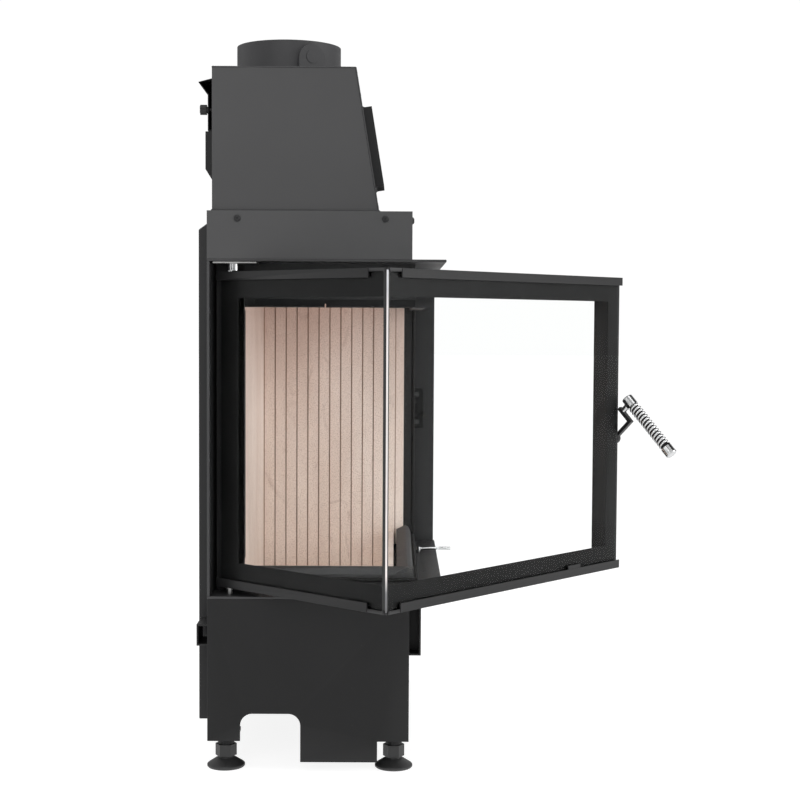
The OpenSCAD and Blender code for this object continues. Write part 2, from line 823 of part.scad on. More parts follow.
module corner_seal() on_door() color("#1c1c1d") {
    x0 = door_x - 10.1;
    x1 = door_x - rail_t - 0.4;
    y0 = door_y + rail_t + 0.4;
    y1 = door_y + glass_back;
    translate([0, 0, door_z + rail_t]) linear_extrude(height = door_top - door_z - 2 * rail_t)
        polygon([[x0, y0], [x1 - 2.5, y0], [x1, y0 + 2.5], [x1, y1], [x0, y1]]);
}

// A rail's section, outer face at 0, for the lower edge of the door
module rail_section(depth) {
    difference() {
        square([depth, rail_h]);
        translate([rail_t, rail_t]) square([depth - 2 * rail_t, rail_h]);
    }
}

// What the hinge stile takes out of a short rail
module rail_cut(z0, z1) {
    cut = 0.01;
    box([hinge_x - hinge_end - 1, door_y + rail_t, z0],
        [hinge_x - hinge_end + hinge_stile_w + cut, door_y + leaf_d + 1, z1]);
}

module short_rail() {
    along_x(hinge_x - hinge_end, door_x - corner_cut_s) translate([door_y, 0]) rail_section(leaf_d);
}

module long_rail() {
    along_y(door_y + corner_cut_l, door_end) translate([door_x, 0]) mirror([1, 0]) rail_section(long_d);
}

// What the swing takes off the back of the hinge end, so that it passes the rope
module swing_cut(z0, z1) {
    difference() {
        box([hinge_x - 2 * hinge_end, hinge_y, z0], [hinge_x, frame_y, z1]);
        rod_z(hinge_x, hinge_y, leaf_d - leaf_off, z0 - 1, z1 + 1);
    }
}

module hinge_hole() {
    rod_z(hinge_x, hinge_y, pin_r + run_fit, -5, rail_h);
}

module short_bottom_rail() on_door() color("#3a3b3d") {
    translate([0, 0, door_z]) difference() {
        short_rail();
        rail_cut(rail_t, rail_h + 1);
        swing_cut(-1, rail_h + 1);
        hinge_hole();
        box([door_x - long_d, door_y + rail_t, -1], [door_x, frame_y, rail_h + 1]);
    }
}

module short_top_rail() on_door() color("#3a3b3d") {
    translate([0, 0, door_top]) mirror([0, 0, 1]) difference() {
        short_rail();
        rail_cut(rail_t, rail_h + 1);
        swing_cut(-1, rail_h + 1);
        hinge_hole();
        box([door_x - long_d, door_y + rail_t, -1], [door_x, frame_y, rail_h + 1]);
    }
}

module long_bottom_rail() on_door() color("#3a3b3d") {
    translate([0, 0, door_z]) difference() {
        long_rail();
        box([0, door_y, -1], [door_x - rail_t, door_y + leaf_d, rail_h + 1]);
    }
    box([door_x - rail_t, door_end - 150, door_z + rail_h - 1], [door_x - 0.2, door_end - 115, door_z + rail_h + 6]);
}

module long_top_rail() on_door() color("#3a3b3d") {
    translate([0, 0, door_top]) mirror([0, 0, 1]) difference() {
        long_rail();
        box([0, door_y, -1], [door_x - rail_t, door_y + leaf_d, rail_h + 1]);
    }
}

module hinge_stile() on_door() color("#2a2b2d") {
    x0 = hinge_x - hinge_end;
    y0 = door_y + glass_back;
    difference() {
        box([x0, y0, door_z + rail_t], [x0 + hinge_stile_w, door_y + leaf_d, door_top - rail_t]);
        box([x0 + 2, y0 + 13, door_z + rail_t + 30],
            [x0 + hinge_stile_w + 1, door_y + leaf_d - 2, door_top - rail_t - 30]);
        rod_z(hinge_x, hinge_y, pin_r + run_fit, door_z, door_z + 24);
        rod_z(hinge_x, hinge_y, pin_r + run_fit, door_top - 24, door_top);
        swing_cut(door_z, door_top);
    }
}

// A channel behind the glass at the free end, with a boss for the latch's shaft
module latch_stile() on_door() color("#2a2b2d") {
    x1 = door_x - glass_back;
    z0 = door_z + rail_t;
    z1 = door_top - rail_t;
    boss = shaft_d / 2 + 7;
    difference() {
        union() {
            box([x1 - 2, stile_y, z0], [x1, door_end, z1]);
            box([door_x - web_back, stile_y, z0], [x1, stile_y + 2, z1]);
            box([x1 - flange_w, door_end - 3, z0], [x1, door_end, z1]);
            box([x1 - flange_w, door_end - bush_l, shaft_z - boss], [x1, door_end, shaft_z + boss]);
        }
        rod_y(shaft_x, shaft_z, shaft_d / 2 + 2, door_end - bush_l - 1, door_end + 1);
    }
}

module latch_bush() on_door() color("#a98b4a") {
    difference() {
        rod_y(shaft_x, shaft_z, shaft_d / 2 + 2, door_end - bush_l, door_end);
        rod_y(shaft_x, shaft_z, shaft_d / 2 + run_fit, door_end - bush_l - 1, door_end + 1);
    }
}

// The angle that ties the two rails together under and over the glass corner
module corner_clip() {
    in = 2.3;
    lip = 5;
    s0 = door_x - corner_cut_s;
    difference() {
        union() {
            box([door_x - long_d, door_y + in, 0], [door_x - in, door_y + leaf_d, rail_t]);
            box([s0 + 0.5, door_y + in - 1.5, 0], [door_x - 5, door_y + in, lip]);
            box([door_x - in, door_y + 5, 0], [door_x - in + 1.5, door_y + corner_cut_l - 0.5, lip]);
        }
        box([door_x - long_d - 1, door_y + leaf_d - 12, -1],
            [door_x - long_d + 12, door_y + leaf_d + 1, rail_t + 1]);
    }
    for (p = [[door_x - 8, door_y + 1.2], [door_x - 1.2, door_y + 8]]) rod_z(p[0], p[1], 1.2, lip - 3.5, lip + 1);
}

module corner_clips() on_door() color("#4a4b4d") {
    translate([0, 0, door_z]) corner_clip();
    translate([0, 0, door_top]) mirror([0, 0, 1]) corner_clip();
}

// One loop of rope on the frame, drawn as round bars: the door's rails and stiles close on it
module rope_seal() place() color("#3b3a38") {
    r = rope_d / 2;
    za = door_z + rail_h / 2;
    zb = door_top - rail_h / 2;
    ya = frame_y - r;
    xb = frame_x + r;
    yb = far_face + post_d / 2;
    for (z = [za, zb]) {
        rod_x(ya, z, r, hinge_x, xb);
        rod_y(xb, z, r, ya, yb);
        for (p = [[hinge_x, ya], [xb, ya], [xb, yb]]) translate([p[0], p[1], z]) sphere(r = r);
    }
    rod_z(hinge_x, ya, r, za, zb);
    rod_z(xb, yb, r, za, zb);
}

// ---------------------------------------------------------------- handle, drawn closed

module latch_shaft() on_handle() color("#6a6b6e") {
    rod_y(shaft_x, shaft_z, shaft_d / 2, door_end - bush_l - 1, arm_y + arm_w);
}

// The arm, with a hooked tail that passes under the roller and up behind it
module handle_lever() on_handle() color("#2a2b2c") {
    x0 = shaft_x;
    slot = roller_d / 2 + 0.6;
    low = roller_over - roller_d / 2 - 0.5;
    wall = 4.4;
    difference() {
        union() {
            rod_y(x0, shaft_z, 9, arm_y, arm_y + arm_w);
            box([x0, arm_y, shaft_z - arm_t / 2], [x0 + arm_reach, arm_y + arm_w, shaft_z + arm_t / 2]);
            box([x0 + arm_reach - arm_t, arm_y, shaft_z], [x0 + arm_reach, arm_y + arm_w, shaft_z + tab_up]);
            translate([x0, 0, shaft_z]) along_y(arm_y, arm_y + arm_w) polygon([[0, -7],
                [-roller_in - slot - wall, 6], [-roller_in - slot - wall, roller_over + 2],
                [-roller_in - slot, roller_over + 2], [-roller_in - slot, low],
                [-roller_in + slot, low], [2, 7]]);
        }
        rod_y(x0, shaft_z, shaft_d / 2, arm_y - 1, arm_y + arm_w + 1);
    }
}

grip_x = shaft_x + grip_out;
grip_y = arm_y + arm_w / 2;

module grip_spacer(r) {
    rod_x(grip_y, shaft_z + spacer_up, r, shaft_x + arm_reach, grip_x - grip_d / 2 + 2);
}

module grip_core() on_handle() color("#cfd1d4") {
    r = grip_d / 2;
    grip_spacer(spacer_r - 0.5);
    translate([grip_x, grip_y, shaft_z + grip_top - grip_l]) rotate_extrude() polygon([[0, 0],
        [r - 2, 0], [r - 0.6, 0.6], [r, 2], [r, tail_cap_l], [r - 3.2, tail_cap_l],
        [r - 3.2, grip_l - cap_l], [r, grip_l - cap_l], [r, grip_l - 1.5], [r - 0.5, grip_l - 0.5],
        [r - 1.5, grip_l], [0, grip_l]]);
}

// The coil, as one ring a turn; every ring seats on the core
module grip_coil() on_handle() color("#e2e3e5") {
    r = grip_d / 2;
    span = grip_l - cap_l - tail_cap_l;
    pitch = span / coil_turns;
    wire = 1.6;
    for (i = [0:coil_turns - 1])
        translate([grip_x, grip_y, shaft_z + grip_top - grip_l + tail_cap_l + pitch * (i + 0.5)])
            rotate_extrude() translate([r - 3.2 + wire, 0]) circle(r = wire, $fn = 32);
}

// ---------------------------------------------------------------- air lever

// The lever's pin goes down through the sill to a shutter plate over the air port
module air_lever() place() color("#d0d2d5") {
    r = air_d / 2;
    rod_z(air_x, air_y, r, shutter_z - shutter_t, air_pin_top);
    rod_z(air_x, air_y, air_collar_r, sill_z + gap, air_pin_top);
    rod_x(air_y, air_z, r, air_x, air_x + air_reach - 22);
    rod_x(air_y, air_z, r + 0.4, air_x + air_reach - 22, air_x + air_reach);
    intersection() {
        rod_z(air_x, air_y, shutter_r, shutter_z - shutter_t, shutter_z);
        box([air_x - shutter_r, air_y - 24, shutter_z - shutter_t], [air_x + 6, air_y + 24, shutter_z]);
    }
}

near_side_panel();
far_side_panel();
base_back_panel();
base_front_panel();
sill_plate();
hearth_pan();
back_wall();
far_wall();
hinge_post();
front_post();
strike_column();
door_header();
hearth_rim();
canopy_plate();
upper_casing();
button_screws();
smoke_dome();
flue_collar();
collar_lug();
rear_cover();
rear_rib();
front_rib();
rear_shield();
side_brackets();
back_bricks();
far_bricks();
low_bricks();
floor_brick();
baffle_brick();
foot_bosses();
air_box();
strike_plate();
roller_pin();
hinge_plate();
top_hinge_pin();
bottom_hinge_pin();
short_glass();
long_glass();
corner_seal();
short_top_rail();
short_bottom_rail();
long_top_rail();
long_bottom_rail();
hinge_stile();
latch_stile();
corner_clips();
rope_seal();
latch_bush();
latch_shaft();
handle_lever();
grip_core();
grip_coil();
latch_roller();
air_lever();
near_cover_knob();
far_cover_knob();
foot_near_back();
foot_near_front();
foot_far_back();
foot_far_front();
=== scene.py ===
import math

import bpy
import numpy as np
from mathutils import Matrix, Vector


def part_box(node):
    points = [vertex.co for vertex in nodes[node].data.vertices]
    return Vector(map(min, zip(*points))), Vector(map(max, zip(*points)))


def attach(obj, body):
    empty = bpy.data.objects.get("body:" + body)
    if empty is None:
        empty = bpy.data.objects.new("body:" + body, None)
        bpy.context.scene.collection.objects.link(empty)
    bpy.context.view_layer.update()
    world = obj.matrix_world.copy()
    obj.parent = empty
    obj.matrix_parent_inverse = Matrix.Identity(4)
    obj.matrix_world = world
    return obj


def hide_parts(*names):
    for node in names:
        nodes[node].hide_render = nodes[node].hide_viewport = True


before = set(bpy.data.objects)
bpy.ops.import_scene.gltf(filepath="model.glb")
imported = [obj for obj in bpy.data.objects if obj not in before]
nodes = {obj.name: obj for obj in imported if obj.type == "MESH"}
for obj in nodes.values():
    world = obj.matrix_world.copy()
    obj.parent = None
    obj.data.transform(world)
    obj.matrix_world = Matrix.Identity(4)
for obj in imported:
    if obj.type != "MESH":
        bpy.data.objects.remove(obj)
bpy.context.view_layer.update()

# ---------------------------------------------------------------------------------- camera
# A long lens stands about three metres off the short leaf, a little above the firebox, and
# looks slightly down. Its place is counted from the casing's near back corner on the floor.

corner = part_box("near_side_panel")[0]
corner.z = 0.0
camera_place = corner + Vector((0.2919, -2.3979, 0.7096))
yaw, pitch, roll = 0.0034, 0.0510, 0.0054

ahead = Vector((math.sin(yaw) * math.cos(pitch), math.cos(yaw) * math.cos(pitch), -math.sin(pitch)))
level = Vector((math.cos(yaw), -math.sin(yaw), 0.0))
upward = level.cross(ahead)
right = (level + roll * upward).normalized()
upward = right.cross(ahead)

camera = bpy.data.cameras.new("studio_camera")
camera.lens = 69.525
camera.sensor_width = 36.0
camera_object = bpy.data.objects.new("studio_camera", camera)
turn = Matrix((right, upward, -ahead)).transposed()
camera_object.matrix_world = Matrix.Translation(camera_place) @ turn.to_4x4()
bpy.context.scene.collection.objects.link(camera_object)
bpy.context.scene.camera = camera_object

# ---------------------------------------------------------------------------------- studio
# A white floor that runs away into a white room, and large soft panels: one overhead, one on
# the right and one in front. Dark flags stand between them, so that bright metal has contrast.


def grid_mesh(name, x, y, z, close_u=False, close_v=False, smooth=True):
    """A mesh over a grid of points: quads join each point (i, j) to (i+1, j+1), wrapping where closed."""
    nu, nv = x.shape
    columns, rows = nu if close_u else nu - 1, nv if close_v else nv - 1
    i, j = np.meshgrid(np.arange(columns), np.arange(rows), indexing="ij")
    i2, j2 = (i + 1) % nu, (j + 1) % nv
    quads = np.stack([i * nv + j, i2 * nv + j, i2 * nv + j2, i * nv + j2], -1).reshape(-1, 4)
    mesh = bpy.data.meshes.new(name)
    mesh.vertices.add(nu * nv)
    mesh.vertices.foreach_set("co", np.stack([x, y, z], -1).astype(np.float32).ravel())
    mesh.loops.add(quads.size)
    mesh.loops.foreach_set("vertex_index", quads.astype(np.int32).ravel())
    mesh.polygons.add(len(quads))
    mesh.polygons.foreach_set("loop_start", np.arange(0, quads.size, 4, dtype=np.int32))
    mesh.update(calc_edges=True)
    mesh.validate()
    if smooth:
        mesh.shade_smooth()
    piece = bpy.data.objects.new(name, mesh)
    bpy.context.scene.collection.objects.link(piece)
    return piece


def floor_grid(half, cells=40):
    """A flat square of side 2 * half at z = 0."""
    s, t = np.meshgrid(np.linspace(-1, 1, cells), np.linspace(-1, 1, cells), indexing="ij")
    return half * s, half * t, 0 * s


studio_floor = grid_mesh("studio_floor", *floor_grid(30.0))
floor_paint = bpy.data.materials.new("floor_white")
floor_paint.use_nodes = True
floor_shader = floor_paint.node_tree.nodes["Principled BSDF"]
floor_shader.inputs["Base Color"].default_value = (0.34, 0.34, 0.34, 1)
floor_shader.inputs["Emission Color"].default_value = (1, 1, 1, 1)
floor_shader.inputs["Emission Strength"].default_value = 0.86
floor_shader.inputs["Roughness"].default_value = 0.9
floor_shader.inputs["Specular IOR Level"].default_value = 0.0
studio_floor.data.materials.append(floor_paint)

world = bpy.data.worlds.new("white_room")
bpy.context.scene.world = world
world.use_nodes = True
sky = world.node_tree
sky.nodes["Background"].inputs["Strength"].default_value = 1.0
heading = sky.nodes.new("ShaderNodeTexCoord")
flags = sky.nodes.new("ShaderNodeTexNoise")
flags.inputs["Scale"].default_value = 1.9
flags.inputs["Detail"].default_value = 1.0
sky.links.new(heading.outputs["Generated"], flags.inputs["Vector"])
shades = sky.nodes.new("ShaderNodeValToRGB")
shades.color_ramp.elements[0].position, shades.color_ramp.elements[0].color = 0.44, (0.05, 0.05, 0.05, 1)
shades.color_ramp.elements[1].position, shades.color_ramp.elements[1].color = 0.56, (1.1, 1.1, 1.1, 1)
sky.links.new(flags.outputs["Fac"], shades.inputs["Fac"])
seen = sky.nodes.new("ShaderNodeLightPath")
either = sky.nodes.new("ShaderNodeMath")
either.operation = "MAXIMUM"
sky.links.new(seen.outputs["Is Camera Ray"], either.inputs[0])
sky.links.new(seen.outputs["Is Transmission Ray"], either.inputs[1])
choice = sky.nodes.new("ShaderNodeMix")
choice.data_type = "RGBA"
choice.inputs["B"].default_value = (1.02, 1.02, 1.02, 1)
sky.links.new(either.outputs["Value"], choice.inputs["Factor"])
sky.links.new(shades.outputs["Color"], choice.inputs["A"])
sky.links.new(choice.outputs["Result"], sky.nodes["Background"].inputs["Color"])
bpy.context.scene.view_settings.view_transform = "Standard"


def soft_panel(name, place, aim, width, height, power):
    light = bpy.data.lights.new(name, "AREA")
    light.shape = "RECTANGLE"
    light.size, light.size_y = width, height
    light.energy = power
    lamp = bpy.data.objects.new(name, light)
    lamp.location = place
    lamp.rotation_euler = (Vector(aim) - Vector(place)).to_track_quat("-Z", "Y").to_euler()
    bpy.context.scene.collection.objects.link(lamp)


soft_panel("front_panel", (-0.8, -3.2, 1.8), (0, 0, 0.6), 2.0, 1.6, 26)
soft_panel("right_panel", (3.0, -0.8, 1.4), (0, 0, 0.6), 1.6, 2.0, 34)
soft_panel("top_panel", (0, -0.4, 3.2), (0, 0, 0.6), 2.4, 2.0, 30)

# ---------------------------------------------------------------------------------- painted casing
# The shell is folded from steel sheet, blasted and coated with heat-proof black paint, which
# dries to a fine satin grain with faint cloudy patches where the spray overlapped. Its folds
# are a millimetre or two round, and a painted highlight makes the paint a little lighter on them.


def new_material(name, roughness, metallic=0.0, specular=0.5):
    material = bpy.data.materials.new(name)
    material.use_nodes = True
    shader = material.node_tree.nodes["Principled BSDF"]
    shader.inputs["Roughness"].default_value = roughness
    shader.inputs["Metallic"].default_value = metallic
    shader.inputs["Specular IOR Level"].default_value = specular
    return material, material.node_tree, shader


def own_place(tree, squash=(1, 1, 1)):
    """The piece's own coordinates, stretched by squash."""
    place = tree.nodes.new("ShaderNodeTexCoord")
    mapping = tree.nodes.new("ShaderNodeMapping")
    mapping.inputs["Scale"].default_value = squash
    tree.links.new(place.outputs["Object"], mapping.inputs["Vector"])
    return mapping


def ramp_of(tree, source, stops):
    """A colour ramp of (place, colour) stops fed from a socket."""
    ramp = tree.nodes.new("ShaderNodeValToRGB")
    ramp.color_ramp.elements[0].position, ramp.color_ramp.elements[0].color = stops[0]
    ramp.color_ramp.elements[1].position, ramp.color_ramp.elements[1].color = stops[-1]
    for spot, colour in stops[1:-1]:
        ramp.color_ramp.elements.new(spot).color = colour
    tree.links.new(source, ramp.inputs["Fac"])
    return ramp


def noise_ramp(tree, scale, detail, stops, squash=(1, 1, 1), twist=0.0):
    """Noise on the piece's own coordinates, sent through a colour ramp."""
    mapping = own_place(tree, squash)
    noise = tree.nodes.new("ShaderNodeTexNoise")
    noise.inputs["Scale"].default_value = scale
    noise.inputs["Detail"].default_value = detail
    noise.inputs["Distortion"].default_value = twist
    tree.links.new(mapping.outputs["Vector"], noise.inputs["Vector"])
    return noise, ramp_of(tree, noise.outputs["Fac"], stops)


def blend_colours(tree, kind, share, first, second):
    """Two colours mixed; share is a number, or a socket that gives one."""
    mix = tree.nodes.new("ShaderNodeMix")
    mix.data_type = "RGBA"
    mix.blend_type = kind
    if isinstance(share, float):
        mix.inputs["Factor"].default_value = share
    else:
        tree.links.new(share, mix.inputs["Factor"])
    for socket, value in ((mix.inputs["A"], first), (mix.inputs["B"], second)):
        if isinstance(value, tuple):
            socket.default_value = value
        else:
            tree.links.new(value, socket)
    return mix.outputs["Result"]


def add_bump(tree, shader, height, strength, distance):
    bump = tree.nodes.new("ShaderNodeBump")
    bump.inputs["Strength"].default_value = strength
    bump.inputs["Distance"].default_value = distance
    tree.links.new(height, bump.inputs["Height"])
    tree.links.new(bump.outputs["Normal"], shader.inputs["Normal"])


def grey(v):
    return (v, v, v * 1.02, 1)


def edge_highlight_mask(tree, low, high):
    """Where the surface turns outwards sharply, as 0 to 1 between two levels of pointiness: the mask of a
    painted edge highlight.
    """
    geometry = tree.nodes.new("ShaderNodeNewGeometry")
    edge = ramp_of(tree, geometry.outputs["Pointiness"], [(low, (0, 0, 0, 1)), (high, (1, 1, 1, 1))])
    return edge.outputs["Color"]


def stove_paint(name, level, rough=0.5, specular=0.25, lit_edges=True):
    """Satin black paint: cloudy by a seventh, faint run marks down it, a fine orange-peel grain."""
    material, tree, shader = new_material(name, rough, specular=specular)
    _, cloud = noise_ramp(tree, 3.0, 5, [(0.3, grey(level * 0.86)), (0.7, grey(level * 1.14))])
    _, runs = noise_ramp(tree, 5.0, 4, [(0.35, grey(0.93)), (0.65, grey(1.0))], (6, 6, 0.6))
    colour = blend_colours(tree, "MULTIPLY", 1.0, cloud.outputs["Color"], runs.outputs["Color"])
    _, specks = noise_ramp(tree, 260, 2, [(0.70, (0, 0, 0, 1)), (0.78, (1, 1, 1, 1))])
    colour = blend_colours(tree, "MIX", specks.outputs["Color"], colour, grey(level * 1.6))
    # Painted highlight: the paint is lighter where the surface turns sharply outwards.
    if lit_edges:
        colour = blend_colours(tree, "MIX", edge_highlight_mask(tree, 0.53, 0.6), colour, grey(level * 2.2 + 0.01))
    tree.links.new(colour, shader.inputs["Base Color"])
    _, sheen = noise_ramp(tree, 6.0, 6, [(0.3, grey(rough - 0.06)), (0.7, grey(rough + 0.08))])
    tree.links.new(sheen.outputs["Color"], shader.inputs["Roughness"])
    grain, _ = noise_ramp(tree, 1500, 4, [(0, grey(0)), (1, grey(1))])
    add_bump(tree, shader, grain.outputs["Fac"], 0.25, 0.0002)
    return material


def round_edges(name, radius, segments=2):
    """Joins the part's loose triangles and rounds its folds."""
    weld = nodes[name].modifiers.new("join", "WELD")
    weld.merge_threshold = 0.00001
    bevel = nodes[name].modifiers.new("fold", "BEVEL")
    bevel.width = radius
    bevel.segments = segments
    bevel.limit_method = "ANGLE"
    bevel.angle_limit = math.radians(40)
    bevel.harden_normals = True


def coat(material, *names):
    for name in names:
        nodes[name].data.materials.clear()
        nodes[name].data.materials.append(material)


# One paint at several levels: the base panels, the frame round the door opening and the ribs and rear cover
# are made darker as painted shade, and the flue collar and its lug lighter as painted light.
casing_paint = stove_paint("casing_paint", 0.022)
dome_paint = stove_paint("dome_paint", 0.019)
lit_pad_paint = stove_paint("lit_pad_paint", 0.048, lit_edges=False)
shaded_base_paint = stove_paint("shaded_base_paint", 0.009)
wall_paint = stove_paint("wall_paint", 0.028)
shaded_frame_paint = stove_paint("shaded_frame_paint", 0.010, 0.55, 0.2)
shaded_paint = stove_paint("shaded_paint", 0.007, 0.6, 0.15)

coat(casing_paint, "upper_casing", "canopy_plate")
coat(dome_paint, "smoke_dome")
coat(lit_pad_paint, "collar_lug", "flue_collar")
coat(casing_paint, "button_screws", "rear_shield")
coat(shaded_base_paint, "near_side_panel", "far_side_panel", "base_back_panel", "base_front_panel",
     "side_brackets", "air_box", "foot_bosses")
coat(wall_paint, "sill_plate", "strike_column", "far_wall", "back_wall")
coat(shaded_frame_paint, "hinge_post", "front_post", "door_header", "strike_plate")
coat(shaded_paint, "front_rib", "rear_rib", "rear_cover")
for name in ("near_side_panel", "far_side_panel", "base_back_panel", "base_front_panel", "back_wall",
             "far_wall", "hinge_post", "front_post", "strike_column", "hinge_plate", "strike_plate"):
    round_edges(name, 0.0005)
for name in ("sill_plate", "canopy_plate", "rear_cover", "side_brackets"):
    round_edges(name, 0.0008)
round_edges("rear_shield", 0.0012, 3)

# ---------------------------------------------------------------------------------- weld seams
# The dome, the collar and the sensor pad are welded on by hand: a fillet bead of overlapping
# ripples runs along every joint, and the paint lies over it a little shinier.


def ends_of(name):
    return [np.array(v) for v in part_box(name)]


def at(x, y, z):
    """A place in millimetres from the casing's near back corner on the floor."""
    return np.array([corner.x + x / 1000, corner.y + y / 1000, z / 1000])


def even_path(points, step, closed=False):
    """Points a step apart along straight runs between the corners given."""
    points = np.asarray(points, float)
    if closed:
        points = np.vstack([points, points[:1]])
    lengths = np.linalg.norm(np.diff(points, axis=0), axis=1)
    along = np.concatenate([[0], np.cumsum(lengths)])
    spots = np.linspace(0, along[-1], max(int(along[-1] / step), 4) + 1)
    if closed:
        spots = spots[:-1]
    return np.stack([np.interp(spots, along, points[:, k]) for k in range(3)], -1), spots


def smooth_path(path, rounds, closed=False):
    """Each point becomes the mean of itself and its two neighbours, a number of times over."""
    for _ in range(rounds):
        before, after = np.roll(path, 1, axis=0), np.roll(path, -1, axis=0)
        if not closed:
            before[0], after[-1] = path[0], path[-1]
        path = (before + 2 * path + after) / 4
    return path


def tube_grid(path, radius, sides, closed=False, facing=(0, 0, 1)):
    """A circle of the given radius (one number, or one for each grid point) carried along a path.

    The circle's first axis is square to the path and to the facing direction, its second is the
    path's direction crossed with the first.
    """
    before, after = np.roll(path, 1, axis=0), np.roll(path, -1, axis=0)
    if not closed:
        before[0], after[-1] = path[0], path[-1]
    tangent = after - before
    tangent /= np.linalg.norm(tangent, axis=1)[:, None]
    facing = np.broadcast_to(np.asarray(facing, float), tangent.shape)
    first = np.cross(facing, tangent)
    first /= np.linalg.norm(first, axis=1)[:, None]
    second = np.cross(tangent, first)
    angle = np.linspace(0, 2 * np.pi, sides, endpoint=False)
    radius = np.broadcast_to(radius, (len(path), sides))[..., None]
    ring = path[:, None] + radius * (np.cos(angle)[None, :, None] * first[:, None]
                                     + np.sin(angle)[None, :, None] * second[:, None])
    return ring[..., 0], ring[..., 1], ring[..., 2]


def weld_bead(name, corners, size, closed=False, facing=(0.3, 0.4, 0.86), seed=1):
    """A bead whose radius swells with each ripple, size * (1 + 0.16 |sin(pi s / 3.5 mm)| + wander)."""
    path, spots = even_path([at(*c) for c in corners], 0.0009, closed)
    chance = np.random.default_rng(seed)
    wander = np.interp(spots, np.linspace(0, spots[-1], 60), chance.normal(0, 0.09, 60))
    radius = size * (1 + 0.16 * np.abs(np.sin(np.pi * spots / 0.0035)) + wander)
    bead = grid_mesh(name, *tube_grid(path, radius[:, None], 8, closed, facing), close_u=closed, close_v=True)
    bead.data.materials.append(weld_paint)
    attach(bead, "casing")


weld_paint = stove_paint("weld_paint", 0.034, 0.4)
dome_low, dome_high = ends_of("smoke_dome")
x0, x1 = (dome_low[0] - corner.x) * 1000, (dome_high[0] - corner.x) * 1000
y0, y1 = (dome_low[1] - corner.y) * 1000, (dome_high[1] - corner.y) * 1000
z0, z1 = dome_low[2] * 1000, dome_high[2] * 1000
slope_x = x1 - 36
weld_bead("dome_foot_weld", [(x0, y0, z0 + 0.4), (x1, y0, z0 + 0.4), (x1, y1, z0 + 0.4), (x0, y1, z0 + 0.4)],
          0.0017, True, seed=3)
for name, y, seed in (("near_dome_weld", y0 + 0.5, 4), ("far_dome_weld", y1 - 0.5, 5)):
    weld_bead(name, [(x1 - 0.3, y, z0), (slope_x - 0.3, y, z1 - 0.6)], 0.0012, facing=(0, 1, 0.2), seed=seed)
weld_bead("dome_top_weld", [(x0 + 0.6, y0 + 0.6, z1 - 0.5), (slope_x - 0.6, y0 + 0.6, z1 - 0.5),
                            (slope_x - 0.6, y1 - 0.6, z1 - 0.5), (x0 + 0.6, y1 - 0.6, z1 - 0.5)],
          0.0011, True, seed=6)
collar_low, collar_high = ends_of("flue_collar")
flue = (collar_low + collar_high) / 2
flue_r = (collar_high[0] - collar_low[0]) * 500
round_turn = np.linspace(0, 2 * np.pi, 160, endpoint=False)
fx, fy = (flue[0] - corner.x) * 1000, (flue[1] - corner.y) * 1000
weld_bead("flue_weld", [(fx + flue_r * math.cos(a), fy + flue_r * math.sin(a), z1 + 0.3) for a in round_turn],
          0.0019, True, seed=7)

# ---------------------------------------------------------------------------------- cast hearth
# The rim and the pan are grey cast iron, left with the fine pits of the sand mould and brushed
# with stove black, so they look duller and rougher than the sheet steel.


def cast_iron():
    material, tree, shader = new_material("cast_iron", 0.66)
    _, cloud = noise_ramp(tree, 9.0, 6, [(0.3, grey(0.030)), (0.7, grey(0.046))])
    _, ash = noise_ramp(tree, 40.0, 5, [(0.55, (0, 0, 0, 1)), (0.75, (0.35, 0.35, 0.35, 1))])
    colour = blend_colours(tree, "MIX", ash.outputs["Color"], cloud.outputs["Color"], (0.16, 0.15, 0.14, 1))
    tree.links.new(colour, shader.inputs["Base Color"])
    pits, _ = noise_ramp(tree, 700, 6, [(0, grey(0)), (1, grey(1))])
    add_bump(tree, shader, pits.outputs["Fac"], 0.55, 0.0006)
    return material


coat(cast_iron(), "hearth_rim", "hearth_pan")
round_edges("hearth_rim", 0.0012, 3)
